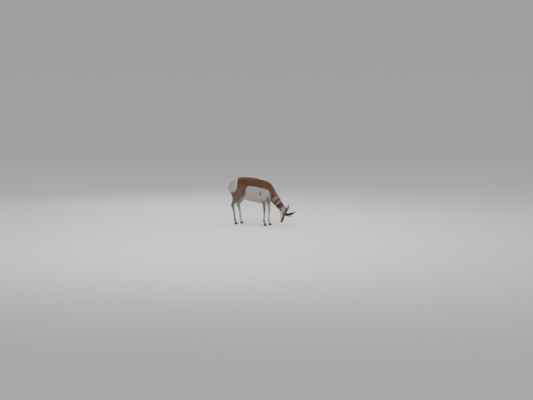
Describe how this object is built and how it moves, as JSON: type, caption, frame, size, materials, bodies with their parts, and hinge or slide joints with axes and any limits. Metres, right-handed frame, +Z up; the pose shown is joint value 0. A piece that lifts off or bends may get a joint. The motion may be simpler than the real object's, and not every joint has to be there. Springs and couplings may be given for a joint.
{
  "type": "pronghorn",
  "caption": "Life-size pronghorn buck grazing with its head down, reddish tan above and white below, with short black horns.",
  "frame": {"origin": "on the ground under the middle of the whole animal", "axes": "+X forward to the head, +Y to the animal's left, +Z up"},
  "size_m": [1.394, 0.316, 0.901],
  "materials": {
    "coat": "matt hair",
    "horn": "matt, black keratin",
    "hoof": "satin, black keratin",
    "eye": "wet gloss"
  },
  "bodies": {
    "root": {"torso": "coat", "neck": "coat", "head": "coat", "tail": "coat", "ear_left": "coat", "ear_right": "coat", "eye_left": "eye", "eye_right": "eye", "horn_left": "horn", "horn_right": "horn", "fore_right_upper": "coat", "fore_right_lower": "coat", "fore_right_hoof_inner": "hoof", "fore_right_hoof_outer": "hoof", "fore_left_upper": "coat", "fore_left_lower": "coat", "fore_left_hoof_inner": "hoof", "fore_left_hoof_outer": "hoof", "hind_right_upper": "coat", "hind_right_lower": "coat", "hind_right_hoof_inner": "hoof", "hind_right_hoof_outer": "hoof", "hind_left_upper": "coat", "hind_left_lower": "coat", "hind_left_hoof_inner": "hoof", "hind_left_hoof_outer": "hoof"}
  },
  "joints": []
}
